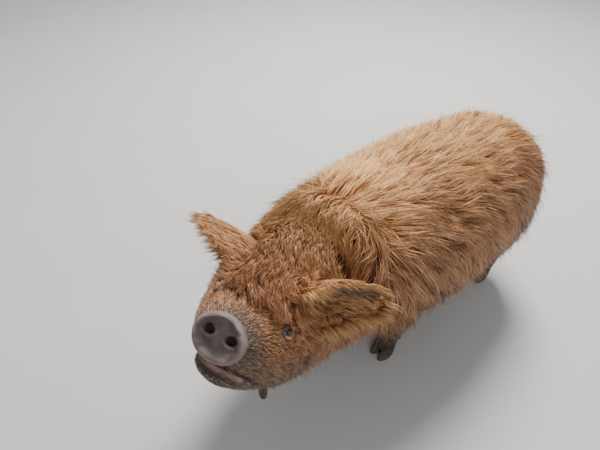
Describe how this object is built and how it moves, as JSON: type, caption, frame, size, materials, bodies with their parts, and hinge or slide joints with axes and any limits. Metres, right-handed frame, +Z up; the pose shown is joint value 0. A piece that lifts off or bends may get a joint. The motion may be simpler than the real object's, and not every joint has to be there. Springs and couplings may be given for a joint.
{
  "type": "kunekune pig model",
  "caption": "Ginger kunekune pig, life size, standing still with its snout raised and turned to its left, with long coarse hair, drooping ears and a bare snout disc.",
  "frame": {"origin": "on the floor, under the middle of the bounding box", "axes": "+Z up; the trunk runs along Y and faces -Y; the pig's left side is +X"},
  "size_m": [0.457, 1.0604, 0.5163],
  "materials": {
    "coat": "long coarse ginger hair",
    "ear": "golden hair",
    "snout": "bare damp skin",
    "eye": "glossy",
    "claw": "dull horn"
  },
  "bodies": {
    "root": {"dewclaw_front_left_inner": "claw", "dewclaw_front_left_outer": "claw", "dewclaw_front_right_inner": "claw", "dewclaw_front_right_outer": "claw", "dewclaw_hind_left_inner": "claw", "dewclaw_hind_left_outer": "claw", "dewclaw_hind_right_inner": "claw", "dewclaw_hind_right_outer": "claw", "ear_left": "ear", "ear_right": "ear", "eye_left": "eye", "eye_right": "eye", "head": "coat", "leg_front_left": "coat", "leg_front_right": "coat", "leg_hind_left": "coat", "leg_hind_right": "coat", "neck": "coat", "snout_disc": "snout", "tail": "coat", "tassel_left": "coat", "tassel_right": "coat", "toe_front_left_inner": "claw", "toe_front_left_outer": "claw", "toe_front_right_inner": "claw", "toe_front_right_outer": "claw", "toe_hind_left_inner": "claw", "toe_hind_left_outer": "claw", "toe_hind_right_inner": "claw", "toe_hind_right_outer": "claw", "torso": "coat"}
  },
  "joints": []
}
